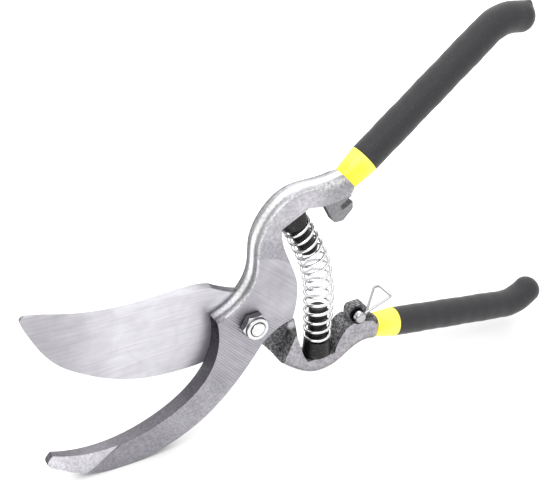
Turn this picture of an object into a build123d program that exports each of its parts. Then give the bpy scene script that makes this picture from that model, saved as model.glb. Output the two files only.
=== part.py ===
"""Forged one-hand bypass pruner, standing on its hook and lower grip with the jaws open.

The tool lies in the XZ plane.  The pivot axis is the Y axis and the origin is where it meets
the ground faces of the two jaws.  The nut and the hook are towards -Y.  X runs from the jaws
to the grips and Z is up.  All sizes are in millimetres and all angles in degrees.
"""
import os
from math import atan2, cos, degrees, hypot, radians, sin

from build123d import *

os.makedirs("parts", exist_ok=True)

# ---- driving dimensions -------------------------------------------------------------
closing_angle = 45.0        # how far the handles close from the open stop

# jaws
hook_thickness = 7.0
hook_tip_thickness = 4.6
facet_depth = 3.6           # how much the end facet takes off the hook's tip
blade_thickness = 4.4
blade_tip_thickness = 1.3
bevel_width = 11.0          # ground bevel behind the cutting edge
bevel_land = 0.5            # steel left at the cutting edge
face_gap = 0.1              # between the rubbing faces of the jaws
hub_radius = 10.6           # the blade half's hub, behind the hook half

# forged arms
arm_back = 4.0              # the upper arm, behind the jaw faces
lower_arm_front = 6.0       # the lower arm, in front of the jaw faces
rim_front_radius = 1.6
lower_rim_radius = 2.6
rim_back_radius = 3.6
turning_gap = 1.0           # between a half's relief and what turns in it

# handles
handle_mid = 1.5            # the handles' middle plane, in front of the jaw faces
upper_handle_angle = 38.4
lower_handle_angle = -9.6
upper_root = (44.2, 51.2)   # where each handle leaves its arm
lower_root = (62.6, -24.7)
upper_straight = 80.8       # from the root to the bend
lower_straight = 75.6
bend_angle = 45.0
bend_radius = 18.0
upper_end = 9.2             # straight part past the bend
lower_end = 7.3
end_taper = 11.0            # stretch over which an arm turns round before its band
end_taper_across = 15.0     # half widths of the oval that the stretch starts from
end_taper_deep = 7.0
tang_radius = 3.6
tang_inset = 5.5            # the tang stops this far inside the grip's end
band_length = 11.2
band_radius = 5.1           # of the band's end and of the arm's end beside it
grip_radius = 6.35
grip_end_rounding = 5.4
sleeve_gap = 0.05           # tang to band and grip

# pivot
bolt_radius = 3.0
bolt_clearance = 0.06
head_across_flats = 10.0
head_height = 3.4
bolt_stand_out = 0.3
washer_radius = 6.2
washer_thickness = 0.8
nut_across_flats = 10.0
nut_hex_height = 3.7
nut_collar_radius = 4.85
nut_collar_height = 1.6
insert_radius = bolt_radius + 0.5
insert_height = 1.2

# spring and its posts
spring_radius = 5.6         # to the middle of the wire
wire_radius = 0.7
spring_bend_radius = 60.0
post_radius = 4.0
upper_post_length = 21.5
lower_post_length = 23.6
post_nose = 1.0
upper_base_height = 5.5
lower_base_height = 8.0
post_base_across = 6.6      # half widths of the oval base
post_base_deep = 5.2
post_collar_radius = 5.6
spigot_radius = 2.2
spigot_length = 4.0
upper_seat = (19.0, 42.3)
upper_post_angle = -62.5
lower_seat = (34.3, -29.6)
lower_post_angle = 90.0

# lock
lock_pivot = (52.8, -14.8)
lock_reach = 15.8           # from the lock pin to the bail's bar
lock_open_angle = 30.5
lock_shut_angle = 70.0
lug_front = 3.0             # the lower lug, in front of the jaw faces
lug_thickness = 4.2
# from the lock pivot
lug_corners = [(-3.9, -3.2), (-3.7, 4.1), (3.4, 4.2), (6.3, 0.4), (7.6, -2.4)]
upper_lug_front = 5.6
upper_lug_thickness = 3.6
# from the slot's end
upper_lug_corners = [(-3.7, -6.2), (0.5, -6.2), (4.9, -1.8), (4.5, 2.8)]
lug_rounding = 2.0
slot_width = 2.6
slot_angle = 33.0
slot_length = 8.0
lock_pin_radius = 1.6
lock_pin_clearance = 0.06
lock_neck_length = 1.2      # from the front washer to the pin's head
lock_head_radius = 2.6
lock_head_length = 2.6
lock_rear_head_radius = 2.3
lock_rear_head_length = 1.0
lock_washer_radius = 3.2
lock_washer_thickness = 0.7
lock_washer_room = 0.3      # round the washers, where the arm is cut back for them
lock_gap = 0.1              # between the lower lug and the washers beside it
bail_wire_radius = 0.55
bail_hole_clearance = 0.08
bail_stub = 3.2             # where the bail's two legs part, from the lock pin's axis
bail_front = 8.7            # the bar's front end, in front of the jaw faces
bail_back = -2.0            # the back leg's corner
bail_corner = 1.8           # the corner's length each way
bail_bend_radius = 0.9


def polar(radius, angle):
    return (radius * cos(radians(angle)), radius * sin(radians(angle)))


def turned(point, angle):
    """A point of the tool plane, turned about the pivot."""
    return polar(hypot(*point), degrees(atan2(point[1], point[0])) + angle)


def moved(point, radius, angle):
    """A point of the tool plane, moved by a radius in the direction of an angle."""
    dx, dz = polar(radius, angle)
    return (point[0] + dx, point[1] + dz)


def shifted(points, place):
    """Points given from a place, as points of the tool plane."""
    return [(x + place[0], z + place[1]) for x, z in points]


def facing_plane(front):
    """Sketch plane parallel to the jaws: local x = X, local y = Z, extrudes towards -Y."""
    return Plane.XZ.offset(front)


def pin_plane(centre, front):
    """The same plane with its origin on a pin's axis."""
    return Plane(origin=(centre[0], -front, centre[1]), x_dir=(1, 0, 0), z_dir=(0, -1, 0))


def seat_plane(seat, angle):
    """Plane at a point of the handles' middle plane: local x lies in it, z along the angle."""
    across = polar(1, angle - 90)
    along = polar(1, angle)
    return Plane(origin=(seat[0], -handle_mid, seat[1]), x_dir=(across[0], 0, across[1]),
                 z_dir=(along[0], 0, along[1]))


def handle_path(handle, start, end_trim):
    """Middle line of a handle: straight, then bent towards the other handle near its end."""
    root, angle, turn, straight, end = handle
    corner = moved(root, straight, angle)
    end_angle = angle + turn * bend_angle
    centre = moved(corner, bend_radius, angle + turn * 90)
    bend_middle = moved(centre, bend_radius, angle + turn * (bend_angle / 2 - 90))
    bend_end = moved(centre, bend_radius, end_angle - turn * 90)
    with BuildLine(facing_plane(handle_mid)) as path:
        Line(moved(root, start, angle), corner)
        ThreePointArc(corner, bend_middle, bend_end)
        Line(bend_end, moved(bend_end, end - end_trim, end_angle))
    return path.wires()[0]


def rod(path, radius):
    """A round bar along a path."""
    with BuildPart() as bar:
        with BuildSketch(Plane(origin=path @ 0, z_dir=path % 0)):
            Circle(radius)
        sweep(path=path)
    return bar.part


def long_edges(part, height_sign):
    """The two long outer edges of an arm that has just been extruded, front one first."""
    edges = part.edges().filter_by(lambda edge: edge.length > 38)
    edges = edges.sort_by(lambda edge: height_sign * edge.center().Z)[0:2]
    return edges.sort_by(Axis.Y)


def root_plane(handle):
    """Plane across a handle's root: local x lies in the tool plane, and z along the handle."""
    root, angle = handle[:2]
    return seat_plane(root, angle)


def end_rounding(handle):
    """What comes off an arm's last stretch, so that it turns from a bar to the band's round."""
    near = root_plane(handle)
    with BuildPart() as rounding:
        with BuildSketch(near):
            Rectangle(2 * end_taper_across, 2 * end_taper_across)
        extrude(amount=-end_taper)
        with BuildSketch(near):
            Circle(band_radius)
        with BuildSketch(near.offset(-end_taper)):
            Ellipse(end_taper_across, end_taper_deep)
        loft(mode=Mode.SUBTRACT)
    return rounding.part


def handle_band(handle):
    """Coloured sleeve between an arm and its grip, widening to the grip."""
    near = root_plane(handle)
    with BuildPart() as band:
        with BuildSketch(near):
            Circle(band_radius)
        with BuildSketch(near.offset(band_length)):
            Circle(grip_radius)
        loft()
        with BuildSketch(near):
            Circle(tang_radius + sleeve_gap)
        extrude(amount=band_length, mode=Mode.SUBTRACT)
    return band.part


def handle_grip(handle):
    """Dipped grip over the rest of the tang, with a round closed end."""
    outside = handle_path(handle, band_length, 0)
    inside = handle_path(handle, band_length, tang_inset - sleeve_gap)
    with BuildPart() as grip:
        add(rod(outside, grip_radius))
        end_point = outside @ 1
        end_edge = grip.edges().sort_by(lambda edge: (edge.center() - end_point).length)[0]
        fillet(end_edge, radius=grip_end_rounding)
        add(rod(inside, tang_radius + sleeve_gap), mode=Mode.SUBTRACT)
    return grip.part


def spring_post(seat, angle, base_height, length):
    """Black post: oval base, cone, collar and round nose, with a spigot into the arm."""
    base = seat_plane(seat, angle)
    with BuildPart() as post:
        with BuildSketch(base):
            Ellipse(post_base_across, post_base_deep)
        with BuildSketch(base.offset(base_height)):
            Circle(post_collar_radius)
        loft()
        with BuildSketch(base.offset(base_height)):
            Circle(post_radius)
        extrude(amount=length - base_height)
        nose = post.edges().filter_by(GeomType.CIRCLE).sort_by(
            lambda edge: (edge.center() - base.origin).length)[-1]
        fillet(nose, radius=post_nose)
        with BuildSketch(base):
            Circle(spigot_radius)
        extrude(amount=-spigot_length)
    return post.part


def spigot_hole(seat, angle):
    """Bar that cuts a post's spigot hole into an arm."""
    with BuildPart() as hole:
        with BuildSketch(seat_plane(seat, angle)):
            Circle(spigot_radius + sleeve_gap)
        extrude(amount=-spigot_length - sleeve_gap)
    return hole.part


# root, angle, which way the end bends, straight run and end run
upper_handle = (upper_root, upper_handle_angle, -1, upper_straight, upper_end)
lower_handle = (lower_root, lower_handle_angle, 1, lower_straight, lower_end)

# ---- hook half: counter-blade, cheek, arm, upper lug and tang in one forging ---------------
throat = (-15.4, 5.4)
hook_tip = (-86.6, -40.0)
upper_end_outer = moved(upper_root, band_radius, upper_handle_angle + 90)
upper_end_inner = moved(upper_root, band_radius, upper_handle_angle - 90)
upper_seat_high = moved(upper_seat, post_base_across + 0.3, upper_post_angle + 90)
upper_seat_low = moved(upper_seat, post_base_across + 0.3, upper_post_angle - 90)
slot_end = turned(moved(lock_pivot, lock_reach, lock_shut_angle), closing_angle)
relief_radius = hub_radius + turning_gap

with BuildPart() as hook_forging:
    with BuildSketch(facing_plane(-arm_back)):
        with BuildLine():
            Spline(throat, (-6.6, 9.8), (-1.2, 15.4), (1.7, 23), (2.4, 33), (8.0, 45),
                   (18.5, 52.6), (30, 53.6), upper_end_outer)
            Line(upper_end_outer, upper_end_inner)
            Spline(upper_end_inner, (40.5, 45.6), (32, 44.6), upper_seat_high)
            Line(upper_seat_high, upper_seat_low)
            Spline(upper_seat_low, (13.4, 33), (17.6, 21.5), (20.6, 11))
            Spline((20.6, 11), (20.2, 3), (18.6, -4))
            Spline((18.6, -4), (11, -6.8), (4.6, -11.8))
            Spline((4.6, -11.8), (-5.2, -24.4), (-19.2, -37.6), (-35.4, -46.7), (-54, -51.1),
                   (-70, -49.3), (-82.6, -43.4))
            Spline((-82.6, -43.4), hook_tip, (-84.4, -36.5))
            Spline((-84.4, -36.5), (-70, -40.0), (-56, -39.5), (-40, -34.8), (-26, -26.3),
                   (-17.4, -15.2), (-14.6, -4), throat)
        make_face()
    extrude(amount=arm_back + hook_thickness)

    # the arm's outer rim is rounded over on both faces
    fillet(long_edges(hook_forging, -1)[0], radius=rim_front_radius)
    fillet(long_edges(hook_forging, -1)[-1], radius=rim_back_radius)

    # behind the jaw faces only the arm is left, so the blade half can turn
    with BuildSketch(facing_plane(-arm_back)):
        Circle(relief_radius)
        Polygon((0, 0), polar(relief_radius, 100), (-10, 22), (-100, 22), (-100, -60),
                (30, -60), (26, 11.2), (12, 11.2), align=None)
    extrude(amount=arm_back, mode=Mode.SUBTRACT)

    # the hook thins towards its tip, with a second facet at the very end
    with BuildSketch(Plane.XY):
        Polygon((-22, -hook_thickness), (-95, -hook_tip_thickness), (-95, -20), (-22, -20),
                align=None)
    extrude(amount=-60, mode=Mode.SUBTRACT)
    facet = Plane(origin=(-66, -5.5, -45), x_dir=(-0.53, 0, 0.85), z_dir=(-0.85, 0, -0.53))
    with BuildSketch(facet):
        Polygon((0, 0), (26, facet_depth), (26, -8), (0, -8), align=None)
    extrude(amount=25, both=True, mode=Mode.SUBTRACT)

    add(end_rounding(upper_handle), mode=Mode.SUBTRACT)

    # lug with the slot that the bail's bar drops into
    with BuildSketch(facing_plane(upper_lug_front - upper_lug_thickness)):
        with BuildLine():
            FilletPolyline((31.2, 47), *shifted(upper_lug_corners, slot_end), (43.8, 49),
                           radius=lug_rounding)
            Line((43.8, 49), (31.2, 47))
        make_face()
        with Locations(moved(slot_end, slot_length / 2, slot_angle)):
            SlotCenterToCenter(slot_length, slot_width, rotation=slot_angle,
                               mode=Mode.SUBTRACT)
    extrude(amount=upper_lug_thickness)

    add(rod(handle_path(upper_handle, -3, tang_inset), tang_radius))
    add(spigot_hole(upper_seat, upper_post_angle), mode=Mode.SUBTRACT)
    with BuildSketch(facing_plane(0)):
        Circle(bolt_radius + bolt_clearance)
    extrude(amount=hook_thickness, mode=Mode.SUBTRACT)
hook_forging.part.label = "hook_forging"
export_step(hook_forging.part, "parts/hook_forging.step")

# ---- blade half: blade, hub, arm, lower lug and tang in one forging ------------------------
blade_back = face_gap + blade_thickness
blade_top_root = (-13.8, 16.6)
blade_heel = (-12.0, -16.2)
blade_point = (-90.1, 27.3)
point_centre = (-87.7, 24.9)     # the point is rounded about this
point_rounding = 2.0
blade_top = [blade_point, (-80.3, 24.8), (-75, 23.0), (-62, 19.7), (-48, 18.0), (-34, 17.9), (-21, 17.9),
             blade_top_root]
cutting_edge = [blade_heel, (-20, -17.4), (-28.7, -17.6), (-36.9, -17.0), (-44.2, -15.9),
                (-52, -13.6), (-60, -10.2), (-67.6, -5.7), (-76.7, 1.2), (-83.2, 9.8),
                (-86.5, 16.6), (-88.7, 21.8), blade_point]
bevel_centre = (-40, 40)


def bevel_top(point):
    """Where the bevel that starts at a point of the cutting edge ends: it fades at the heel."""
    to_point = hypot(point[0] - blade_point[0], point[1] - blade_point[1])
    to_heel = hypot(point[0] - blade_heel[0], point[1] - blade_heel[1])
    room = min(bevel_width, 0.42 * to_point, 0.7 * to_heel)
    angle = degrees(atan2(bevel_centre[1] - point[1], bevel_centre[0] - point[0]))
    return moved(point, room, angle)


lower_end_inner = moved(lower_root, band_radius, lower_handle_angle + 90)
lower_end_outer = moved(lower_root, band_radius, lower_handle_angle - 90)
lower_seat_left = moved(lower_seat, post_base_across, 180)
lower_seat_right = moved(lower_seat, post_base_across, 0)
neck_corner = (23.9, -10.3)
block_corner = (21.2, -14.0)

with BuildPart() as lower_arm:
    with BuildSketch(facing_plane(-blade_back)):
        with BuildLine():
            Spline(lower_end_outer, (56, -28.9), (50, -31.0), (44, -34.8), (37.8, -37.0),
                   (31.3, -36.9), (25, -34.2), (15.6, -27))
            Line((15.6, -27), block_corner)
            Spline(block_corner, (23.2, -18.5), (24.8, -24), lower_seat_left)
            Line(lower_seat_left, lower_seat_right)
            Spline(lower_seat_right, (42.8, -24), (46.4, -19))
            Spline((46.4, -19), (50.4, -17.3), (56, -17.9), lower_end_inner)
            Line(lower_end_inner, lower_end_outer)
        make_face()
    extrude(amount=blade_back + lower_arm_front)
    fillet(long_edges(lower_arm, 1), radius=lower_rim_radius)
    add(end_rounding(lower_handle), mode=Mode.SUBTRACT)
    with BuildSketch(pin_plane(lock_pivot, -blade_back)):
        Circle(lock_washer_radius + lock_washer_room)
    extrude(amount=blade_back + lower_arm_front, mode=Mode.SUBTRACT)

with BuildPart() as blade_forging:
    # blade: flat on the hook's side, bevelled behind
    with BuildSketch(facing_plane(-face_gap)) as blade_face:
        with BuildLine():
            Spline(*blade_top)
            Line(blade_top_root, blade_heel)
            Spline(*cutting_edge)
        make_face()
    extrude(amount=-bevel_land)
    with BuildSketch(facing_plane(-face_gap - bevel_land)):
        with BuildLine():
            Spline(*blade_top)
            Line(blade_top_root, blade_heel)
            Spline(*cutting_edge)
        make_face()
    with BuildSketch(facing_plane(-blade_back)):
        with BuildLine():
            Spline(*blade_top)
            Line(blade_top_root, bevel_top(blade_heel))
            Spline(*[bevel_top(point) for point in cutting_edge])
        make_face()
    loft(ruled=True)
    with BuildSketch(Plane.XY):
        Polygon((-16, blade_back), (-95, blade_tip_thickness), (-95, 20), (-16, 20), align=None)
    extrude(amount=40, both=True, mode=Mode.SUBTRACT)

    with BuildSketch(facing_plane(-blade_back)):
        Polygon(point_centre, (-95, point_centre[1]), (-95, 32), (point_centre[0], 32),
                align=None)
        with Locations(point_centre):
            Circle(point_rounding, mode=Mode.SUBTRACT)
    extrude(amount=blade_back, mode=Mode.SUBTRACT)

    # hub and neck, behind the hook half
    with BuildSketch(facing_plane(-blade_back)):
        with BuildLine():
            Spline(blade_top_root, (-7.4, 13.1), (-1, hub_radius))
            ThreePointArc((-1, hub_radius), polar(hub_radius, 45), (hub_radius, -1))
            Spline((hub_radius, -1), (16, -5.6), neck_corner)
            Spline(neck_corner, (25.2, -17), (27, -28))
            Line((27, -28), (24, -32))
            Spline((24, -32), (15.8, -26.6), (8.2, -17.2), (2, -12.8), blade_heel)
            Line(blade_heel, blade_top_root)
        make_face()
    extrude(amount=blade_thickness)

    add(lower_arm.part)

    # lug that carries the lock pin
    with BuildSketch(facing_plane(lug_front - lug_thickness)):
        with BuildLine():
            FilletPolyline((44.6, -22.5), *shifted(lug_corners, lock_pivot), (63.2, -20.6),
                           radius=lug_rounding)
            Polyline((63.2, -20.6), (60, -25), (47, -25), (44.6, -22.5))
        make_face()
    extrude(amount=lug_thickness)

    add(rod(handle_path(lower_handle, -3, tang_inset), tang_radius))
    add(spigot_hole(lower_seat, lower_post_angle), mode=Mode.SUBTRACT)
    with BuildSketch(facing_plane(-blade_back)):
        Circle(bolt_radius + bolt_clearance)
    extrude(amount=blade_thickness, mode=Mode.SUBTRACT)
    with BuildSketch(pin_plane(lock_pivot, lug_front - lug_thickness)):
        Circle(lock_pin_radius + lock_pin_clearance)
    extrude(amount=lug_thickness, mode=Mode.SUBTRACT)
blade_forging.part.label = "blade_forging"
export_step(blade_forging.part, "parts/blade_forging.step")

# ---- handles -------------------------------------------------------------------------
for name, handle in (("upper", upper_handle), ("lower", lower_handle)):
    with BuildPart() as band:
        add(handle_band(handle))
    band.part.label = name + "_band"
    export_step(band.part, "parts/" + name + "_band.step")

    with BuildPart() as grip:
        add(handle_grip(handle))
    grip.part.label = name + "_grip"
    export_step(grip.part, "parts/" + name + "_grip.step")

# ---- spring and its posts --------------------------------------------------------------
for name, seat, angle, base_height, length in (
        ("upper", upper_seat, upper_post_angle, upper_base_height, upper_post_length),
        ("lower", lower_seat, lower_post_angle, lower_base_height, lower_post_length)):
    with BuildPart() as post:
        add(spring_post(seat, angle, base_height, length))
    post.part.label = name + "_spring_post"
    export_step(post.part, "parts/" + name + "_spring_post.step")

# the coil is an open tube of its wire's thickness: straight over each post, bent between them
spring_start = moved(upper_seat, upper_base_height + sleeve_gap, upper_post_angle)
spring_end = moved(lower_seat, lower_base_height + sleeve_gap, lower_post_angle)
spring_reach = (lower_seat[0] - upper_seat[0]) / cos(radians(upper_post_angle))
spring_corner = moved(upper_seat, spring_reach, upper_post_angle)
with BuildPart() as coil_spring:
    with BuildLine(facing_plane(handle_mid)) as spring_line:
        FilletPolyline(spring_start, spring_corner, spring_end, radius=spring_bend_radius)
    spring_path = spring_line.wires()[0]
    with BuildSketch(Plane(origin=spring_path @ 0, z_dir=spring_path % 0)):
        Circle(spring_radius + wire_radius)
        Circle(spring_radius - wire_radius, mode=Mode.SUBTRACT)
    sweep(path=spring_path)
coil_spring.part.label = "coil_spring"
export_step(coil_spring.part, "parts/coil_spring.step")

# ---- pivot bolt, washer and locking nut ----------------------------------------------------
nut_front = hook_thickness + nut_hex_height + nut_collar_height
bolt_end = nut_front + bolt_stand_out
washer_back = blade_back + face_gap + washer_thickness

with BuildPart() as pivot_bolt:
    with BuildSketch(facing_plane(-washer_back - head_height)):
        RegularPolygon(head_across_flats / 2, 6, major_radius=False)
    extrude(amount=head_height)
    chamfer(pivot_bolt.faces().sort_by(Axis.Y)[-1].edges(), length=0.5)
    with BuildSketch(facing_plane(-washer_back)):
        Circle(bolt_radius)
    extrude(amount=washer_back + bolt_end)
    chamfer(pivot_bolt.faces().sort_by(Axis.Y)[0].edges(), length=0.4)
pivot_bolt.part.label = "pivot_bolt"
export_step(pivot_bolt.part, "parts/pivot_bolt.step")

with BuildPart() as bolt_washer:
    with BuildSketch(facing_plane(-washer_back)):
        Circle(washer_radius)
        Circle(bolt_radius + bolt_clearance, mode=Mode.SUBTRACT)
    extrude(amount=washer_thickness)
bolt_washer.part.label = "bolt_washer"
export_step(bolt_washer.part, "parts/bolt_washer.step")

insert_back = nut_front - insert_height
with BuildPart() as pivot_nut:
    with BuildSketch(facing_plane(hook_thickness)):
        RegularPolygon(nut_across_flats / 2, 6, major_radius=False)
    extrude(amount=nut_hex_height)
    with BuildSketch(facing_plane(hook_thickness + nut_hex_height)):
        Circle(nut_collar_radius)
    extrude(amount=nut_collar_height)
    fillet(pivot_nut.faces().sort_by(Axis.Y)[0].edges(), radius=0.5)
    with BuildSketch(facing_plane(hook_thickness)):
        Circle(bolt_radius + sleeve_gap)
    extrude(amount=nut_front - hook_thickness, mode=Mode.SUBTRACT)
    with BuildSketch(facing_plane(insert_back)):
        Circle(insert_radius)
    extrude(amount=insert_height, mode=Mode.SUBTRACT)
pivot_nut.part.label = "pivot_nut"
export_step(pivot_nut.part, "parts/pivot_nut.step")

with BuildPart() as nut_insert:
    with BuildSketch(facing_plane(insert_back)):
        Circle(insert_radius)
        Circle(bolt_radius + sleeve_gap, mode=Mode.SUBTRACT)
    extrude(amount=insert_height)
nut_insert.part.label = "nut_insert"
export_step(nut_insert.part, "parts/nut_insert.step")

# ---- lock: pin, wire bail and washers ------------------------------------------------------
washer_front = lug_front + lock_gap + lock_washer_thickness
head_back = washer_front + lock_neck_length
head_middle = head_back + lock_head_length / 2
lug_back = lug_front - lug_thickness
rear_washer_back = lug_back - lock_gap - lock_washer_thickness

# the bail lies in a plane through the lock pin's axis: local x runs from the pin to the bar
# and local y away from the front
leg = polar(1, lock_open_angle)
bail_plane = Plane(origin=(lock_pivot[0], 0, lock_pivot[1]), x_dir=(leg[0], 0, leg[1]),
                   z_dir=(-leg[1], 0, leg[0]))
bail_stub_plane = Plane(origin=(lock_pivot[0], -head_middle, lock_pivot[1]),
                        z_dir=(leg[0], 0, leg[1]))
fork = (bail_stub, -head_middle)
bar_middle = (lock_reach, -(bail_front - bail_back) / 2)

for name, back in (("lock_washer", lug_front + lock_gap), ("lock_rear_washer", rear_washer_back)):
    with BuildPart() as washer:
        with BuildSketch(pin_plane(lock_pivot, back)):
            Circle(lock_washer_radius)
            Circle(lock_pin_radius + sleeve_gap, mode=Mode.SUBTRACT)
        extrude(amount=lock_washer_thickness)
        fillet(washer.edges().filter_by(GeomType.CIRCLE).sort_by(SortBy.RADIUS)[-2:],
               radius=0.3 * lock_washer_thickness)
    washer.part.label = name
    export_step(washer.part, "parts/" + name + ".step")

with BuildPart() as lock_pin:
    with BuildSketch(pin_plane(lock_pivot, rear_washer_back)):
        Circle(lock_pin_radius)
    extrude(amount=head_back - rear_washer_back)
    with BuildSketch(pin_plane(lock_pivot, head_back)):
        Circle(lock_head_radius)
    extrude(amount=lock_head_length)
    fillet(lock_pin.faces().sort_by(Axis.Y)[0].edges(), radius=0.45 * lock_head_length)
    with BuildSketch(pin_plane(lock_pivot, rear_washer_back - lock_rear_head_length)):
        Circle(lock_rear_head_radius)
    extrude(amount=lock_rear_head_length)
    fillet(lock_pin.faces().sort_by(Axis.Y)[-1].edges(), radius=0.4 * lock_rear_head_length)
    with BuildSketch(bail_stub_plane):
        Circle(bail_wire_radius + bail_hole_clearance)
    extrude(amount=2 * lock_head_radius, both=True, mode=Mode.SUBTRACT)
lock_pin.part.label = "lock_pin"
export_step(lock_pin.part, "parts/lock_pin.step")

with BuildPart() as lock_bail:
    with BuildLine(bail_plane) as stub:
        Line((-lock_head_radius, -head_middle), fork)
    with BuildLine(bail_plane) as front_leg:
        FilletPolyline(fork, (lock_reach, -bail_front), bar_middle, radius=bail_bend_radius)
    with BuildLine(bail_plane) as back_leg:
        FilletPolyline(fork, (lock_reach - bail_corner, -bail_back),
                       (lock_reach, -bail_back - bail_corner), bar_middle,
                       radius=bail_bend_radius)
    for run in (stub, front_leg, back_leg):
        add(rod(run.wires()[0], bail_wire_radius))
lock_bail.part.label = "lock_bail"
export_step(lock_bail.part, "parts/lock_bail.step")
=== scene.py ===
"""Looks of a forged bypass pruner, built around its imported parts.

The tool stands in the XZ plane on its hook and lower grip, with the pivot along Y at the origin.
Sizes are in millimetres until a mesh is made, and the scene is in metres.
"""
import math

import bpy
import numpy as np
from mathutils import Matrix, Vector


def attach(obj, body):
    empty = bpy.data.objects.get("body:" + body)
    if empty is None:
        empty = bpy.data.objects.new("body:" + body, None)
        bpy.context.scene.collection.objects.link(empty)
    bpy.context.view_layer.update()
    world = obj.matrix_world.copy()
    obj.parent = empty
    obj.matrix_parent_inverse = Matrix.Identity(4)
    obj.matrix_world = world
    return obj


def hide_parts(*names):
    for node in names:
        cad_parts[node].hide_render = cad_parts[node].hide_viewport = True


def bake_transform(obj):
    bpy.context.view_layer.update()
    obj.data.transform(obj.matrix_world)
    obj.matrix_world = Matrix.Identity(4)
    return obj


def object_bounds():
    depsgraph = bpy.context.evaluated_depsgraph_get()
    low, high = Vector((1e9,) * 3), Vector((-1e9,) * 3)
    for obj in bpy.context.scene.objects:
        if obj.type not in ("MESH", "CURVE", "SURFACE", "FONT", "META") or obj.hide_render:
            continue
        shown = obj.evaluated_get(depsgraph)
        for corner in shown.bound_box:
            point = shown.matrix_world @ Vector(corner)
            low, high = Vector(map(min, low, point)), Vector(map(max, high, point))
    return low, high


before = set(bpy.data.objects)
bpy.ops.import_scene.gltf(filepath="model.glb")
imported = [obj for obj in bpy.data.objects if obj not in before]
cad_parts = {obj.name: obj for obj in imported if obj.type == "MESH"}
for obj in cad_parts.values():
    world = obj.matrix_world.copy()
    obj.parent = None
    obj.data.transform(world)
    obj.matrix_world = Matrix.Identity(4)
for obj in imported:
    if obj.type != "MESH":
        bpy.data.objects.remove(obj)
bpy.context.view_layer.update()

# ---- Hook half ------------------------------------------------------------------------------
# One drop forging of carbon steel from the hook to the tang.  Its arm keeps the forged and
# tumbled skin, the cheek round the pivot is ground in one direction, and the hook's face is
# ground across its width by a wheel that follows its curve.
hook_arc_centre = (-140.0, 130.0)   # the hook's grinding marks point to it
hook_arc_radius = 197.0
hook_mark_spacing = 1.05
cheek_radius = 28.5                 # the ground cheek is a disc round the pivot
cheek_mark_spacing = 0.7
cheek_mark_angle = -42.0
forged_grain = 1.1                  # coarser than real pitting, which would not show
hook_side = (-0.35, 0.0, -1.0)      # from the pivot towards the hook
facet_side = (-0.53, 0.0, 0.85)     # from the pivot towards the facet at the hook's end
facet_start = -58.0                 # where the facet begins, along the tool
streak = 0.05                       # a streak is twenty times as long as it is wide
hook_grey, hook_low_grey, cheek_grey = "#a9a7ad", "#9a989e", "#b1afb5"
arm_grey, arm_low_grey, arm_end_grey = "#bdbbc0", "#a4a2a8", "#a2a1a5"
rim_grey, rim_low_grey, lug_grey = "#b4b4b7", "#9a999d", "#8a898c"
throat_dark, inside_grey, facet_grey = "#66646a", "#757378", "#cccad0"
# the face's corner and the line along the rim are painted highlights, and the rim's back edge is
# painted shade
corner_painted_highlight, rim_painted_highlight, rim_painted_shade = "#d8d8da", "#ffffff", "#77767a"
rim_highlight_depth = -2.6                     # how deep the bright line along the rim lies
metal_edge = (0.10, 0.10, 0.11, 1.0)    # a forged skin darkens where it turns away


def linear(colour):
    """An sRGB hex colour as a linear RGBA tuple."""
    parts = [int(colour[i:i + 2], 16) / 255 for i in (1, 3, 5)]
    return tuple([p / 12.92 if p <= 0.04045 else ((p + 0.055) / 1.055) ** 2.4
                  for p in parts] + [1.0])


def node(tree, kind, inputs=None, out=0, **settings):
    """Adds a shader node and gives one of its outputs.  inputs maps a socket to a value or to
    another node's output, and settings are the node's own."""
    made = tree.nodes.new("ShaderNode" + kind)
    for name, value in settings.items():
        setattr(made, name, value)
    for socket, value in (inputs or {}).items():
        if isinstance(value, bpy.types.NodeSocket):
            tree.links.new(value, made.inputs[socket])
        else:
            made.inputs[socket].default_value = value
    return made.outputs[out] if len(made.outputs) else made


def mixed(tree, share, first, second):
    """A colour between two, each of them a hex colour or another node's output."""
    first, second = (linear(c) if isinstance(c, str) else c for c in (first, second))
    return node(tree, "Mix", {0: share, 6: first, 7: second}, out=2, data_type="RGBA")


def ranged(tree, value, given=(0.0, 1.0), to=(0.0, 1.0), smooth=False):
    """A value moved from the range given to another, and held inside it."""
    return node(tree, "MapRange", {"Value": value, "From Min": given[0], "From Max": given[1],
                                   "To Min": to[0], "To Max": to[1]},
                interpolation_type="SMOOTHSTEP" if smooth else "LINEAR")


def times(tree, first, second):
    """Two values multiplied."""
    return node(tree, "Math", {0: first, 1: second}, operation="MULTIPLY")


def material(name):
    """A new material: its node tree, with its shader wired to the output, and its places in mm."""
    made = bpy.data.materials.new(name)
    made.use_nodes = True
    tree = made.node_tree
    tree.nodes.clear()
    surface = node(tree, "BsdfPrincipled")
    node(tree, "OutputMaterial", {"Surface": surface})
    places = node(tree, "TexCoord", out="Object")
    mm = node(tree, "VectorMath", {0: places, "Scale": 1000.0}, operation="SCALE")
    return made, tree, surface.node, mm


hook_steel, tree, shader, mm = material("drop_forged_steel_ground_hook")
x, y, z = node(tree, "SeparateXYZ", {0: mm}).node.outputs
facing = node(tree, "TexCoord", out="Normal")
facing_y = node(tree, "SeparateXYZ", {0: facing}, out=1)
squareness = node(tree, "Math", {0: facing_y}, operation="ABSOLUTE")
flat = ranged(tree, squareness, (0.86, 0.97))

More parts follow.
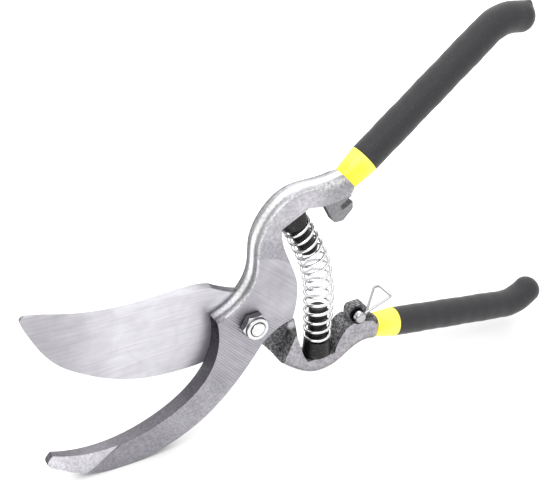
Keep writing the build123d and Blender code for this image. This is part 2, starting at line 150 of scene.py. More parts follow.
# marks across the hook: a wave and a streaked noise over the distance round a far centre
centre = (hook_arc_centre[0], 0.0, hook_arc_centre[1])
from_centre = node(tree, "VectorMath", {0: mm, 1: centre}, operation="SUBTRACT")
arc_x, _, arc_z = node(tree, "SeparateXYZ", {0: from_centre}).node.outputs
bearing = node(tree, "Math", {0: arc_z, 1: arc_x}, operation="ARCTAN2")
along = times(tree, bearing, hook_arc_radius)
outwards = node(tree, "VectorMath", {0: from_centre}, out="Value", operation="LENGTH")
outwards = times(tree, outwards, streak)
hook_run = node(tree, "CombineXYZ", {0: along, 1: outwards})
hook_noise = node(tree, "TexNoise", {"Vector": hook_run, "Scale": 1.0 / hook_mark_spacing,
                                     "Detail": 3.0, "Roughness": 0.6})
wander = times(tree, hook_noise, 2.2)
turns = node(tree, "Math", {0: along, 1: 2 * math.pi / hook_mark_spacing, 2: wander},
             operation="MULTIPLY_ADD")
wave = node(tree, "Math", {0: turns}, operation="SINE")
hook_marks = node(tree, "Math", {0: wave, 1: 0.20, 2: hook_noise}, operation="MULTIPLY_ADD")

# straight marks over the cheek
cheek_run = node(tree, "VectorRotate", {"Vector": mm, "Angle": math.radians(cheek_mark_angle)},
                 rotation_type="Y_AXIS")
cheek_run = node(tree, "VectorMath", {0: cheek_run, 1: (streak, streak, 1.0)},
                 operation="MULTIPLY")
cheek_marks = node(tree, "TexNoise", {"Vector": cheek_run, "Scale": 1.0 / cheek_mark_spacing,
                                      "Detail": 4.0, "Roughness": 0.7})

# pitted skin over the arm
skin = node(tree, "TexNoise", {"Vector": mm, "Scale": 1.0 / forged_grain, "Detail": 5.0,
                               "Roughness": 0.68})
patches = node(tree, "TexNoise", {"Vector": mm, "Scale": 0.09, "Detail": 3.0})

# where each finish is: the hook lies below a line through the pivot, the cheek inside a circle
below = node(tree, "VectorMath", {0: mm, 1: hook_side}, out="Value", operation="DOT_PRODUCT")
on_hook = ranged(tree, below, (-3.6, -2.4))
sideways = node(tree, "VectorMath", {0: mm, 1: (1.0, 0.0, 1.0)}, operation="MULTIPLY")
from_pivot = node(tree, "VectorMath", {0: sideways}, out="Value", operation="LENGTH")
on_arm = ranged(tree, from_pivot, (cheek_radius - 0.4, cheek_radius + 0.4))
upper_marks = node(tree, "Mix", {0: on_arm, 2: cheek_marks, 3: skin})
face_marks = node(tree, "Mix", {0: on_hook, 2: upper_marks, 3: hook_marks})
height = node(tree, "Mix", {0: flat, 2: skin, 3: face_marks})

# a painted highlight along the corner between the face and the rim, broken up by the pitted skin
turning = ranged(tree, squareness, (0.55, 0.80))
turned_flat = ranged(tree, squareness, (0.98, 0.86))
corner_highlight_share = times(tree, turning, turned_flat)
highlight_breakup = ranged(tree, skin, (0.30, 0.50))
corner_highlight_share = times(tree, corner_highlight_share, highlight_breakup)

# the face: arm, lug, cheek, hook and its end facet
up_arm = ranged(tree, z, (30.0, 46.0), smooth=True)
arm_colour = mixed(tree, up_arm, arm_low_grey, arm_grey)
by_band = ranged(tree, x, (25.0, 38.0), smooth=True)
arm_colour = mixed(tree, by_band, arm_colour, arm_end_grey)
upper_face = mixed(tree, on_arm, cheek_grey, arm_colour)
down_hook = ranged(tree, x, (-20.0, -50.0))
hook_colour = mixed(tree, down_hook, hook_grey, hook_low_grey)
past_facet = node(tree, "VectorMath", {0: mm, 1: facet_side}, out="Value",
                  operation="DOT_PRODUCT")
past_facet = ranged(tree, past_facet, (-3.4, -3.0))
near_tip = ranged(tree, x, (facet_start, facet_start - 2.0))
on_facet = times(tree, past_facet, near_tip)
hook_colour = mixed(tree, on_facet, hook_colour, facet_grey)
face = mixed(tree, on_hook, upper_face, hook_colour)

# the sides: the arm's rim, and the hook's inner side, darker towards the throat
on_jaw = ranged(tree, z, (6.5, 4.5))
to_tip = ranged(tree, x, (-14.0, -50.0))
inside = mixed(tree, to_tip, throat_dark, inside_grey)
rim = mixed(tree, up_arm, rim_low_grey, rim_grey)
rim = mixed(tree, by_band, rim, arm_end_grey)
# a painted highlight line runs along the middle of the rim, and its back edge is darkened with
# painted shade
from_highlight_line = node(tree, "Math", {0: y, 1: rim_highlight_depth}, operation="SUBTRACT")
from_highlight_line = node(tree, "Math", {0: from_highlight_line}, operation="ABSOLUTE")
on_highlight_line = ranged(tree, from_highlight_line, (2.2, 0.6), smooth=True)
rim = mixed(tree, on_highlight_line, rim, rim_painted_highlight)
back_shade_share = ranged(tree, y, (1.0, 2.8), smooth=True)
rim = mixed(tree, back_shade_share, rim, rim_painted_shade)
side = mixed(tree, on_jaw, rim, inside)
skin_colour = mixed(tree, flat, side, face)

# the upper lug is set back from the arm's face, and is darker
set_back = ranged(tree, y, (-6.5, -6.1))
by_lug = ranged(tree, x, (30.0, 31.0))
low_enough = ranged(tree, z, (47.0, 45.0))
on_lug = times(tree, set_back, by_lug)
on_lug = times(tree, on_lug, low_enough)
skin_colour = mixed(tree, on_lug, skin_colour, lug_grey)
# painted highlight on the corner, kept off the hook's inner side
rim_highlight_share = node(tree, "Math", {0: corner_highlight_share, 1: on_jaw}, operation="SUBTRACT", use_clamp=True)
skin_colour = mixed(tree, rim_highlight_share, skin_colour, corner_painted_highlight)
forged = node(tree, "Mix", {0: flat, 2: 1.0, 3: on_arm})
ground_shade = ranged(tree, height, (0.25, 0.75), (0.80, 1.18))
forged_shade = ranged(tree, skin, (0.34, 0.66), (0.74, 1.20))
shade = node(tree, "Mix", {0: forged, 2: ground_shade, 3: forged_shade})
blotch = ranged(tree, patches, (0.3, 0.7), (0.88, 1.10))
shade = times(tree, shade, blotch)
base = node(tree, "VectorMath", {0: skin_colour, "Scale": shade}, operation="SCALE")
tree.links.new(base, shader.inputs["Base Color"])
shader.inputs["Metallic"].default_value = 1.0
shader.inputs["Specular Tint"].default_value = metal_edge
rough = ranged(tree, height, to=(0.34, 0.54))
tree.links.new(rough, shader.inputs["Roughness"])
bump = node(tree, "Bump", {"Height": height, "Strength": 0.7, "Distance": 0.00026})
tree.links.new(bump, shader.inputs["Normal"])
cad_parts["hook_forging"].data.materials[0] = hook_steel

# ---- Blade half -----------------------------------------------------------------------------
# The second forging.  The blade and its hub are ground bright along their length and paler than
# the hook.  The neck, the pocket round the spring and the lower lug keep black forging scale,
# and only the arm's front face is ground.
blade_mark_spacing = 0.9
neck_side = (0.6, 0.0, -0.8)        # from the pivot towards the neck
neck_start, blade_end = 13.0, 9.0   # between these two the blade's finish gives way to scale
# the blade darkens towards its point as painted shade
blade_bright, blade_point_shade, blade_root_grey = "#cfcdd3", "#a9a7ac", "#cccad0"
blade_side_grey, scale_black, scale_worn = "#a3a2a6", "#565557", "#98979a"
arm_face_grey, lower_rim_grey = "#aaa7ad", "#9b9a9d"
neck_painted_highlight = (22.6, 0.0, -12.6)     # a painted highlight where the neck meets the arm
neck_highlight_radius = 2.6

blade_steel, tree, shader, mm = material("hardened_steel_ground_blade")
x, y, z = node(tree, "SeparateXYZ", {0: mm}).node.outputs
facing = node(tree, "TexCoord", out="Normal")
_, facing_y, facing_z = node(tree, "SeparateXYZ", {0: facing}).node.outputs
squareness = node(tree, "Math", {0: facing_y}, operation="ABSOLUTE")
flat = ranged(tree, squareness, (0.86, 0.97))

# marks along the blade fan out a little towards its edge
spread = times(tree, x, z)
fan = node(tree, "Math", {0: spread, 1: 0.0022, 2: z}, operation="MULTIPLY_ADD")
lengthways = times(tree, x, 0.045)
depth = times(tree, y, 0.3)
blade_run = node(tree, "CombineXYZ", {0: lengthways, 1: fan, 2: depth})
blade_marks = node(tree, "TexNoise", {"Vector": blade_run, "Scale": 1.0 / blade_mark_spacing,
                                      "Detail": 4.0, "Roughness": 0.65})
skin = node(tree, "TexNoise", {"Vector": mm, "Scale": 1.0 / forged_grain, "Detail": 5.0,
                               "Roughness": 0.66})
patches = node(tree, "TexNoise", {"Vector": mm, "Scale": 0.14, "Detail": 4.0,
                                  "Distortion": 0.6})

# where each finish is: the blade and hub lie up and left of a slanted line
past_hub = node(tree, "VectorMath", {0: mm, 1: neck_side}, out="Value",
                operation="DOT_PRODUCT")
on_blade = ranged(tree, past_hub, (neck_start, blade_end), smooth=True)
height = node(tree, "Mix", {0: on_blade, 2: skin, 3: blade_marks})
proud = ranged(tree, y, (-5.3, -5.8))
on_face = times(tree, proud, flat)
under = ranged(tree, facing_z, (-0.15, -0.6))
worn = ranged(tree, skin, (0.44, 0.68))
sideways = node(tree, "VectorMath", {0: mm, 1: (1.0, 0.0, 1.0)}, operation="MULTIPLY")
# a painted highlight on the neck, in the blade's bright grey
from_neck_highlight = node(tree, "VectorMath", {0: sideways, 1: neck_painted_highlight}, out="Value",
                  operation="DISTANCE")
on_neck_highlight = ranged(tree, from_neck_highlight, (neck_highlight_radius, 0.4 * neck_highlight_radius))
scale_skin = mixed(tree, worn, scale_black, scale_worn)
scale_skin = mixed(tree, under, scale_skin, lower_rim_grey)
scale_skin = mixed(tree, on_neck_highlight, scale_skin, blade_bright)
arm_colour = mixed(tree, on_face, scale_skin, arm_face_grey)

# painted light: the blade is brightest in its middle, with painted shade towards its point, and
# its spine and edge are greyer than its face
to_root = ranged(tree, x, (-46.0, -18.0), smooth=True)
point_shade_share = ranged(tree, x, (-48.0, -82.0), smooth=True)
blade_colour = mixed(tree, to_root, blade_bright, blade_root_grey)
blade_colour = mixed(tree, point_shade_share, blade_colour, blade_point_shade)
blade_colour = mixed(tree, flat, blade_side_grey, blade_colour)
colour = mixed(tree, on_blade, arm_colour, blade_colour)
ground_shade = ranged(tree, height, (0.25, 0.75), (0.84, 1.14))
forged_shade = ranged(tree, skin, (0.34, 0.66), (0.62, 1.30))
shade = node(tree, "Mix", {0: on_blade, 2: forged_shade, 3: ground_shade})
blotch = ranged(tree, patches, (0.3, 0.7), (0.92, 1.06))
shade = times(tree, shade, blotch)
base = node(tree, "VectorMath", {0: colour, "Scale": shade}, operation="SCALE")
tree.links.new(base, shader.inputs["Base Color"])
bright_part = node(tree, "Math", {0: on_blade, 1: on_face}, operation="MAXIMUM")
metal = ranged(tree, bright_part, to=(0.45, 1.0))
tree.links.new(metal, shader.inputs["Metallic"])
shader.inputs["Specular Tint"].default_value = metal_edge
polish = ranged(tree, height, to=(0.30, 0.50))
dulled = ranged(tree, bright_part, to=(0.14, 0.0))
rough = node(tree, "Math", {0: polish, 1: dulled}, operation="ADD")
tree.links.new(rough, shader.inputs["Roughness"])
bump = node(tree, "Bump", {"Height": height, "Strength": 0.5, "Distance": 0.00013})
tree.links.new(bump, shader.inputs["Normal"])
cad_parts["blade_forging"].data.materials[0] = blade_steel

# ---- Grips ------------------------------------------------------------------------------------
# Each tang is dipped in soft PVC, which sets as a thick matt skin with a round end.  It is a
# little uneven along its length, its surface is finely pitted, and the upper one's last drop
# has set as a small nub at its end.
handle_mid = -1.5
bend_angle, bend_radius = math.radians(45.0), 18.0
band_length = 11.2
grip_radius, grip_end_length = 6.35, 5.8
dip_lump = 0.07                     # how uneven the dipped skin is
grip_lip_run, grip_lip = 0.6, 0.7   # the rounded start of a grip
nub_offset = (-1.6, 0.0, 5.6)       # from the middle of the upper grip's end
nub_way = (0.45, 0.0, 0.89)
nub_height, nub_spread = 1.5, 1.9
# root, angle, which way the end bends, straight run, end run and body
handles = {
    "upper": ((44.2, 51.2), math.radians(38.4), -1, 80.8, 9.2, "hook_half"),
    "lower": ((62.6, -24.7), math.radians(-9.6), 1, 75.6, 7.3, "blade_half"),
}
grip_dark, grip_fleck = "#222124", "#3e3c40"


def handle_line(root, angle, turn, straight_run, reach):
    """Points and directions of a handle's middle line at distances from its root: a straight
    run, an arc and a straight end."""
    ahead = np.array([math.cos(angle), 0.0, math.sin(angle)])
    aside = turn * np.array([-math.sin(angle), 0.0, math.cos(angle)])
    reach = reach[:, None]
    straight = np.minimum(reach, straight_run)
    turned = np.clip((reach - straight_run) / bend_radius, 0, bend_angle)
    rest = np.maximum(reach - straight_run - bend_radius * bend_angle, 0)
    direction = np.cos(turned) * ahead + np.sin(turned) * aside
    points = (np.array([root[0], handle_mid, root[1]]) + straight * ahead
              + bend_radius * (np.sin(turned) * ahead + (1 - np.cos(turned)) * aside)
              + rest * direction)
    return points, direction


def rings(points, directions, side, radii, around=40):
    """A ring of points round each point of a line, square to its direction: angle 0 is on the
    side given, and the angle runs by the right-hand rule.  radii is one per ring, or a grid."""
    side = side - (side * directions).sum(-1, keepdims=True) * directions
    side = side / np.linalg.norm(side, axis=-1, keepdims=True)
    up = np.cross(directions, side)
    angle = np.linspace(0, 2 * np.pi, around, endpoint=False)[None, :, None]
    radii = np.asarray(radii, float).reshape(len(points), -1, 1)
    return points[:, None] + radii * (np.cos(angle) * side[:, None] + np.sin(angle) * up[:, None])


def ring_piece(name, grid, finish, closed=False):
    """Makes a mesh of a grid of rings: quads between them, and a face over each end, or quads
    from the last ring to the first where the line is closed."""
    count, around = grid.shape[:2]
    index = np.arange(count * around).reshape(count, around)
    if closed:
        index = np.concatenate([index, index[:1]])
    near, far = index[:-1], index[1:]
    quads = np.stack([near, np.roll(near, -1, 1), np.roll(far, -1, 1), far], -1).reshape(-1, 4)
    faces = quads.tolist()
    if not closed:
        faces += [index[0, ::-1].tolist(), index[-1].tolist()]
    mesh = bpy.data.meshes.new(name)
    mesh.from_pydata((grid.reshape(-1, 3) / 1000).tolist(), [], faces)
    mesh.polygons.foreach_set("use_smooth", np.ones(len(faces), bool))
    mesh.materials.append(finish)
    made = bpy.data.objects.new(name, mesh)
    bpy.context.scene.collection.objects.link(made)
    return made


dipped, tree, shader, mm = material("dipped_pvc_matt")
pits = node(tree, "TexNoise", {"Vector": mm, "Scale": 1.5, "Detail": 5.0, "Roughness": 0.7})
flecks = node(tree, "TexNoise", {"Vector": mm, "Scale": 0.9, "Detail": 6.0, "Roughness": 0.8})
fleck_share = ranged(tree, flecks, (0.54, 0.74))
grip_colour = mixed(tree, fleck_share, grip_dark, grip_fleck)
tree.links.new(grip_colour, shader.inputs["Base Color"])
matt = ranged(tree, pits, to=(0.56, 0.70))
tree.links.new(matt, shader.inputs["Roughness"])
shader.inputs["Sheen Weight"].default_value = 0.25
shader.inputs["Sheen Roughness"].default_value = 0.4
bump = node(tree, "Bump", {"Height": pits, "Strength": 0.55, "Distance": 0.00025})
tree.links.new(bump, shader.inputs["Normal"])

grip_start = band_length - 0.1
lip = np.linspace(0, 0.5 * np.pi, 7)
dome = np.linspace(0, 0.5 * np.pi, 22)[1:]
for name, (root, angle, turn, straight_run, end_run, body) in handles.items():
    grip_stop = straight_run + bend_radius * bend_angle + end_run
    body_reach = np.linspace(grip_start + grip_lip_run, grip_stop - grip_end_length, 96)
    reach = np.concatenate([grip_start + grip_lip_run * (1 - np.cos(lip[:-1])), body_reach,
                            grip_stop - grip_end_length + grip_end_length * np.sin(dome)])
    uneven = dip_lump * (np.sin(0.31 * body_reach + turn) + 0.7 * np.sin(0.83 * body_reach))
    fade = np.clip(np.minimum(body_reach - body_reach[0], body_reach[-1] - body_reach) / 8, 0, 1)
    radius = np.concatenate([grip_radius - grip_lip + grip_lip * np.sin(lip[:-1]),
                             grip_radius + uneven * fade,
                             np.maximum(grip_radius * np.cos(dome), 0.02)])
    points, direction = handle_line(root, angle, turn, straight_run, reach)
    grid = rings(points, direction, np.array([0.0, 1.0, 0.0]), radius, around=48)
    if name == "upper":
        nub = points[-1] + np.array(nub_offset)
        away = np.linalg.norm(grid - nub, axis=-1, keepdims=True)
        grid = grid + nub_height * np.exp(-(away / nub_spread) ** 2) * np.array(nub_way)
    grip = ring_piece(name + "_dipped_grip", grid, dipped)
    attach(grip, body)
    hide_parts(name + "_grip")

# ---- Bands ------------------------------------------------------------------------------------
# A short sleeve of glossy yellow PVC between each arm and its grip, dipped before the grip.  It
# widens to the grip and its two ends are rounded over.
band_radius, band_lip, band_skin = 5.1, 0.35, 0.12
band_yellow, band_pale = "#fbe82c", "#fdf36a"
band_plastic, tree, shader, mm = material("dipped_pvc_yellow")
clouding = node(tree, "TexNoise", {"Vector": mm, "Scale": 0.09, "Detail": 1.0})
cloud_share = ranged(tree, clouding, (0.3, 0.7))
band_colour = mixed(tree, cloud_share, band_yellow, band_pale)
tree.links.new(band_colour, shader.inputs["Base Color"])
gloss = ranged(tree, clouding, to=(0.26, 0.38))
tree.links.new(gloss, shader.inputs["Roughness"])
bump = node(tree, "Bump", {"Height": clouding, "Strength": 0.2, "Distance": 0.0002})
tree.links.new(bump, shader.inputs["Normal"])
for name, (root, angle, turn, straight_run, end_run, body) in handles.items():
    turn_over = np.linspace(0, 0.5 * np.pi, 6)
    reach = np.concatenate([band_lip * (1 - np.cos(turn_over)), np.linspace(1, 10.2, 12),
                            band_length - band_lip * (1 - np.cos(turn_over[::-1]))])
    inset = np.concatenate([band_lip * (1 - np.sin(turn_over)), np.zeros(12),
                            band_lip * (1 - np.sin(turn_over[::-1]))])
    radius = band_radius + band_skin + (grip_radius - band_radius) * reach / band_length - inset
    points, direction = handle_line(root, angle, turn, straight_run, reach)
    band = ring_piece(name + "_yellow_band",
                      rings(points, direction, np.array([0.0, 1.0, 0.0]), radius, around=48),
                      band_plastic)
    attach(band, body)
    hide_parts(name + "_band")

# ---- Spring posts -----------------------------------------------------------------------------
# Two turned steel posts, phosphated black and a little oily, one riveted to each arm.  They
# hold the spring's ends and keep it from buckling.
post_black, post_worn = "#141315", "#5c5b5e"
phosphated, tree, shader, mm = material("phosphated_steel")
scuffs = node(tree, "TexNoise", {"Vector": mm, "Scale": 0.9, "Detail": 5.0, "Roughness": 0.7})
scuff_share = ranged(tree, scuffs, (0.55, 0.8))
post_colour = mixed(tree, scuff_share, post_black, post_worn)
tree.links.new(post_colour, shader.inputs["Base Color"])
shader.inputs["Metallic"].default_value = 0.4
oily = ranged(tree, scuffs, to=(0.34, 0.50))
tree.links.new(oily, shader.inputs["Roughness"])
bump = node(tree, "Bump", {"Height": scuffs, "Strength": 0.3, "Distance": 0.0001})
tree.links.new(bump, shader.inputs["Normal"])
for name in ("upper_spring_post", "lower_spring_post"):
    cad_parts[name].data.materials[0] = phosphated

# ---- Coil spring ------------------------------------------------------------------------------
# Nickel-plated music wire, wound with closed ends.  It is straight over each post and bends
# between them, and closing the handles brings its turns together.
wire_radius = 0.68
spring_end_radius, spring_belly = 5.35, 0.5     # to the middle of the wire, and its bulge
spring_turns, closed_turns = 14.5, 0.7
steps_per_turn, around_wire = 30, 12
spring_bend_radius = 60.0
upper_base_height, lower_base_height = 5.55, 8.05
upper_seat, upper_post_angle = np.array([19.0, 42.3]), math.radians(-62.5)
lower_seat, lower_post_angle = np.array([34.3, -29.6]), math.radians(90.0)
still_length = 7.0                  # of the spring's line at each end, which stays on its post
follow_lag = 0.06                   # the share below grows more slowly near each post than in the middle
wire_bright = "#e2e2e4"
wire_edge = (0.02, 0.02, 0.02, 1.0)     # bright plating darkens where it turns away

nickel, tree, shader, mm = material("nickel_plated_wire")
dulling = node(tree, "TexNoise", {"Vector": mm, "Scale": 0.8, "Detail": 3.0})
rough = ranged(tree, dulling, to=(0.12, 0.30))
tree.links.new(rough, shader.inputs["Roughness"])
shader.inputs["Base Color"].default_value = linear(wire_bright)
shader.inputs["Metallic"].default_value = 1.0
shader.inputs["Specular Tint"].default_value = wire_edge

upper_way = np.array([math.cos(upper_post_angle), math.sin(upper_post_angle)])
lower_way = np.array([math.cos(lower_post_angle), math.sin(lower_post_angle)])
line_start = upper_seat + upper_base_height * upper_way
line_stop = lower_seat + lower_base_height * lower_way
corner = upper_seat + upper_way * (lower_seat[0] - upper_seat[0]) / upper_way[0]
bend = upper_post_angle - (lower_post_angle - math.pi)
trim = spring_bend_radius * math.tan(bend / 2)
first_run = np.linalg.norm(corner - line_start) - trim
last_run = np.linalg.norm(line_stop - corner) - trim
line_length = first_run + spring_bend_radius * bend + last_run

steps = int(spring_turns * steps_per_turn) + 1
turn_count = np.linspace(0, spring_turns, steps)
share = np.interp(turn_count, [0, closed_turns, spring_turns - closed_turns, spring_turns],
                  [0, closed_turns * 2 * wire_radius / line_length,
                   1 - closed_turns * 2 * wire_radius / line_length, 1])
reach = wire_radius + share * (line_length - 2 * wire_radius)
bent = np.clip((reach - first_run) / spring_bend_radius, 0, bend)[:, None]
way = np.stack([math.cos(upper_post_angle), math.sin(upper_post_angle)])
inward = np.array([math.sin(upper_post_angle), -math.cos(upper_post_angle)])
heading = np.cos(bent) * way + np.sin(bent) * inward
middle = (line_start + np.minimum(reach, first_run)[:, None] * way
          + spring_bend_radius * (np.sin(bent) * way + (1 - np.cos(bent)) * inward)
          + np.maximum(reach - first_run - spring_bend_radius * bend, 0)[:, None] * heading)
middle = np.stack([middle[:, 0], np.full(steps, handle_mid), middle[:, 1]], -1)
heading = np.stack([heading[:, 0], np.zeros(steps), heading[:, 1]], -1)
across = np.stack([heading[:, 2], np.zeros(steps), -heading[:, 0]], -1)
wind = 2 * np.pi * turn_count[:, None]
radial = np.cos(wind) * across + np.sin(wind) * np.array([0.0, 1.0, 0.0])
spring_radius = spring_end_radius + spring_belly * np.sin(np.pi * reach / line_length)
wire_line = middle + spring_radius[:, None] * radial
wire_way = np.gradient(wire_line, axis=0)
wire_way /= np.linalg.norm(wire_way, axis=-1, keepdims=True)
spring = ring_piece("coil_wire", rings(wire_line, wire_way, radial, np.full(steps, wire_radius),
                                       around=around_wire), nickel)
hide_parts("coil_spring")
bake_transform(spring)
# a share for every ring of the wire, by how far along the spring its place is
follow = np.clip((reach - still_length) / (line_length - 2 * still_length), 0, 1)
follow = follow - follow_lag * np.sin(2 * np.pi * follow)

# ---- Pivot nut and bolt -----------------------------------------------------------------------
# A zinc-plated M6 lock nut: a chamfered hexagon, a round collar crimped over a nylon ring, and
# the bolt's end just proud of it.  The bolt's own hexagon head and a washer are behind the blade.
hook_front, blade_back = -7.0, 4.5
nut_across_flats, nut_hex_height = 10.0, 3.7
collar_radius, collar_height, collar_lip = 4.85, 1.6, 3.3
ring_outer, bolt_radius, bolt_stand_out = 3.5, 3.0, 0.3
washer_radius, washer_thickness, head_height = 6.2, 0.8, 3.4
collar_rounding, bolt_end_rounding, washer_rounding = 0.55, 0.5, 0.2
crease_angle = 28                   # in degrees: flats meet at more, turned faces at less
zinc_bright, zinc_side_shade, zinc_seat_shade = "#dededf", "#8e8d90", "#2b2a2c"

zinc, tree, shader, mm = material("zinc_plated_steel")
film = node(tree, "TexNoise", {"Vector": mm, "Scale": 0.6, "Detail": 4.0})
shade = ranged(tree, film, (0.3, 0.7), (0.85, 1.1))
depth = node(tree, "SeparateXYZ", {0: mm}, out=1)
# painted shade: the nut's hexagon darkens where it sits on the hook's face
seat_shade_share = ranged(tree, depth, (hook_front - 0.9, hook_front - 0.2))
behind = node(tree, "Math", {0: depth, 1: 0.0}, operation="LESS_THAN")
seat_shade_share = times(tree, seat_shade_share, behind)
facing = node(tree, "TexCoord", out="Normal")
facing_y = node(tree, "SeparateXYZ", {0: facing}, out=1)
# painted light and shade: faces turned to the front get the bright zinc, the hexagon's sides
# darker zinc
front_lit_share = ranged(tree, facing_y, (-0.2, -0.8))
zinc_colour = mixed(tree, front_lit_share, zinc_side_shade, zinc_bright)
zinc_colour = mixed(tree, seat_shade_share, zinc_colour, zinc_seat_shade)
zinc_colour = node(tree, "VectorMath", {0: zinc_colour, "Scale": shade}, operation="SCALE")
tree.links.new(zinc_colour, shader.inputs["Base Color"])
rough = ranged(tree, film, to=(0.14, 0.30))
tree.links.new(rough, shader.inputs["Roughness"])
shader.inputs["Metallic"].default_value = 1.0
shader.inputs["Specular Tint"].default_value = metal_edge
bump = node(tree, "Bump", {"Height": film, "Strength": 0.2, "Distance": 0.0001})
tree.links.new(bump, shader.inputs["Normal"])


def turned_piece(name, profile, finish, centre=(0.0, 0.0), across_flats=None, around=72,
                 closed=False):
    """A piece turned about a line parallel to Y through centre: profile is rows of (y, radius)
    from back to front.  Where it is hexagonal, the radius is the smaller of the profile's and
    the hexagon's, as a chamfer on a hexagon bar is cut."""
    profile = np.asarray(profile, float)
    points = np.stack([np.full(len(profile), centre[0]), profile[:, 0],
                       np.full(len(profile), centre[1])], -1)
    towards_front = np.broadcast_to([0.0, -1.0, 0.0], points.shape)
    radii = np.repeat(profile[:, 1:], around, 1)
    if across_flats:
        angle = np.linspace(0, 2 * np.pi, around, endpoint=False)
        sector = (angle + np.pi / 6) % (np.pi / 3) - np.pi / 6
        corner_first = np.roll(across_flats / 2 / np.cos(sector), around // 12)
        radii = np.minimum(radii, corner_first[None])
    grid = rings(points, towards_front, np.array([1.0, 0.0, 0.0]), radii, around)
    return ring_piece(name, grid, finish, closed)


def smooth_by_angle(piece, degrees):
    """Creases edges sharper than an angle, so flats stay flat and rounds stay round."""
    piece.data.set_sharp_from_angle(angle=math.radians(degrees))


corner_radius = nut_across_flats / math.sqrt(3)
flat_radius = nut_across_flats / 2
nut_front = hook_front - nut_hex_height
collar_front = nut_front - collar_height
cut = np.linspace(0, 1, 8)
nut_back = np.stack([hook_front - 0.35 * cut, flat_radius - 0.15
                     + (corner_radius - flat_radius + 0.15) * cut], -1)
nut_top = np.stack([nut_front + 0.55 * (1 - cut), corner_radius
                    - (corner_radius - flat_radius + 0.1) * cut], -1)
lip_turn = np.linspace(0, 0.5 * np.pi, 7)
collar = np.stack([collar_front + collar_rounding * (1 - np.sin(lip_turn)),
                   collar_radius - collar_rounding * (1 - np.cos(lip_turn))], -1)
nut_profile = np.concatenate([nut_back, nut_top, [[nut_front, collar_radius + 0.05],
                                                  [nut_front - 0.15, collar_radius]], collar,
                              [[collar_front + 0.05, collar_lip + 0.3],
                               [collar_front + 0.2, collar_lip], [collar_front + 0.45, collar_lip],
                               [collar_front + 0.5, ring_outer], [collar_front + 1.2, ring_outer],
                               [collar_front + 1.2, bolt_radius + 0.05],
                               [hook_front, bolt_radius + 0.05]]])
nut = turned_piece("lock_nut", nut_profile, zinc, across_flats=nut_across_flats, closed=True)
smooth_by_angle(nut, crease_angle)
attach(nut, "hook_half")
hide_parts("pivot_nut")

nylon_grey = "#3a3a3d"
nylon, tree, shader, mm = material("nylon_ring")
shader.inputs["Base Color"].default_value = linear(nylon_grey)
grain = node(tree, "TexNoise", {"Vector": mm, "Scale": 2.0})
rough = ranged(tree, grain, to=(0.4, 0.6))
tree.links.new(rough, shader.inputs["Roughness"])
ring = turned_piece("nylon_locking_ring",
                    [[collar_front + 1.15, ring_outer - 0.02],
                     [collar_front + 0.55, ring_outer - 0.02],
                     [collar_front + 0.52, collar_lip], [collar_front + 0.6, bolt_radius + 0.2],
                     [collar_front + 0.7, bolt_radius + 0.04],
                     [collar_front + 1.15, bolt_radius + 0.04]], nylon, closed=True)
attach(ring, "hook_half")
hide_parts("nut_insert")

washer_back = blade_back + 0.1 + washer_thickness
head_back = washer_back + head_height
bolt_front = collar_front - bolt_stand_out
head = np.stack([head_back - 0.55 * cut, flat_radius - 0.1
                 + (corner_radius - flat_radius + 0.1) * cut], -1)
end_turn = np.linspace(0, 0.5 * np.pi, 8)
bolt_end = np.stack([bolt_front + bolt_end_rounding * (1 - np.sin(end_turn)),
                     bolt_radius - bolt_end_rounding * (1 - np.cos(end_turn))], -1)
bolt_profile = np.concatenate([[[head_back, 0.02], [head_back, flat_radius - 0.4]], head,
                               [[washer_back + 0.02, corner_radius], [washer_back, bolt_radius]],
                               bolt_end, [[bolt_front, 1.2], [bolt_front, 0.02]]])
bolt = turned_piece("hexagon_bolt", bolt_profile, zinc, across_flats=nut_across_flats)
smooth_by_angle(bolt, crease_angle)
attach(bolt, "hook_half")
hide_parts("pivot_bolt")

edge = np.linspace(0, 0.5 * np.pi, 5)
washer_profile = np.concatenate([
    np.stack([washer_back - washer_rounding * (1 - np.sin(edge)),
              washer_radius - washer_rounding * (1 - np.cos(edge))], -1)[::-1],
    [[washer_back - washer_thickness, washer_radius],
     [washer_back - washer_thickness, bolt_radius + 0.06], [washer_back, bolt_radius + 0.06]]])
washer = turned_piece("pivot_washer", washer_profile, zinc, closed=True)
smooth_by_angle(washer, crease_angle)
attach(washer, "hook_half")
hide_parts("bolt_washer")

# ---- Lock -------------------------------------------------------------------------------------
# A plated rivet pin through the lower lug, with a washer each side, and a bail bent from thin
# spring wire whose two legs spring out of the pin's head.  Its bar hooks into the upper lug.
plate_bright = "#b2b2b4"
plated, tree, shader, mm = material("polished_plating")
shader.inputs["Base Color"].default_value = linear(plate_bright)
shader.inputs["Metallic"].default_value = 1.0
shader.inputs["Specular Tint"].default_value = wire_edge
wipe = node(tree, "TexNoise", {"Vector": mm, "Scale": 1.1, "Detail": 3.0})
rough = ranged(tree, wipe, to=(0.10, 0.26))
tree.links.new(rough, shader.inputs["Roughness"])
for name in ("lock_pin", "lock_bail"):
    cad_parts[name].data.materials[0] = plated
for name in ("lock_washer", "lock_rear_washer"):
    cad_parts[name].data.materials[0] = zinc
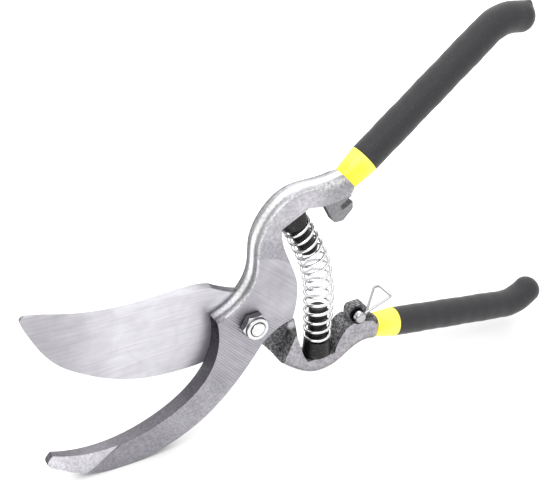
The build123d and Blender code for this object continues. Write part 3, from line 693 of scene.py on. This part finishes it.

# ---- Floor, light and camera ------------------------------------------------------------------
# A flat white floor lit by a wide soft dome, a long lens, and a camera above and to the left.
floor_mesh = bpy.data.meshes.new("floor")
reach_out, paper_white = 6.0, 0.92
floor_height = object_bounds()[0].z
floor_corners = [(-reach_out, -reach_out), (reach_out, -reach_out),
                 (reach_out, reach_out), (-reach_out, reach_out)]
floor_mesh.from_pydata([corner + (floor_height,) for corner in floor_corners], [],
                       [(0, 1, 2, 3)])
white, tree, shader, mm = material("white_paper")
shader.inputs["Base Color"].default_value = (paper_white, paper_white, paper_white, 1.0)
shader.inputs["Roughness"].default_value = 0.9
shader.inputs["Specular IOR Level"].default_value = 0.0
floor_mesh.materials.append(white)
floor = bpy.data.objects.new("floor", floor_mesh)
bpy.context.scene.collection.objects.link(floor)

world = bpy.data.worlds.new("soft_dome")
bpy.context.scene.world = world
world.use_nodes = True
tree = world.node_tree
tree.nodes.clear()
sky = node(tree, "TexCoord", out="Generated")
sky_height = node(tree, "SeparateXYZ", {0: sky}, out=2)
overhead = ranged(tree, sky_height, (0.05, 0.75), (0.55, 1.5))
dome = node(tree, "Background", {"Color": (1.0, 1.0, 1.0, 1.0), "Strength": overhead})
node(tree, "OutputWorld", {"Surface": dome})


def soft_box(name, place, size, watts):
    """A square area light that points at the pivot."""
    lamp = bpy.data.lights.new(name, "AREA")
    lamp.size, lamp.energy = size, watts
    made = bpy.data.objects.new(name, lamp)
    away = Vector(place)
    made.matrix_world = (Matrix.Translation(away)
                         @ away.to_track_quat("Z", "Y").to_matrix().to_4x4())
    bpy.context.scene.collection.objects.link(made)


soft_box("left_box", (-0.55, -0.35, 0.75), 0.5, 3.0)
soft_box("back_box", (0.35, 0.75, 0.7), 0.6, 3.0)

azimuth, elevation, roll = (math.radians(a) for a in (-30.38, 30.99, 1.24))
camera_place = (-0.16945, -0.31671, 0.24509)
lens, sensor = 69.6, 36.0
back = np.array([math.sin(azimuth) * math.cos(elevation), -math.cos(azimuth) * math.cos(elevation),
                 math.sin(elevation)])
level = np.array([math.cos(azimuth), math.sin(azimuth), 0.0])
rise = np.cross(back, level)
right = math.cos(roll) * level + math.sin(roll) * rise
up = math.cos(roll) * rise - math.sin(roll) * level
camera_data = bpy.data.cameras.new("camera")
camera_data.lens, camera_data.sensor_width = lens, sensor
camera_data.clip_start, camera_data.clip_end = 0.01, 50.0
camera = bpy.data.objects.new("camera", camera_data)
camera.matrix_world = Matrix([[right[i], up[i], back[i], camera_place[i]] for i in range(3)]
                             + [[0, 0, 0, 1]])
bpy.context.scene.collection.objects.link(camera)
bpy.context.scene.camera = camera
bpy.context.scene.view_settings.view_transform = "Standard"
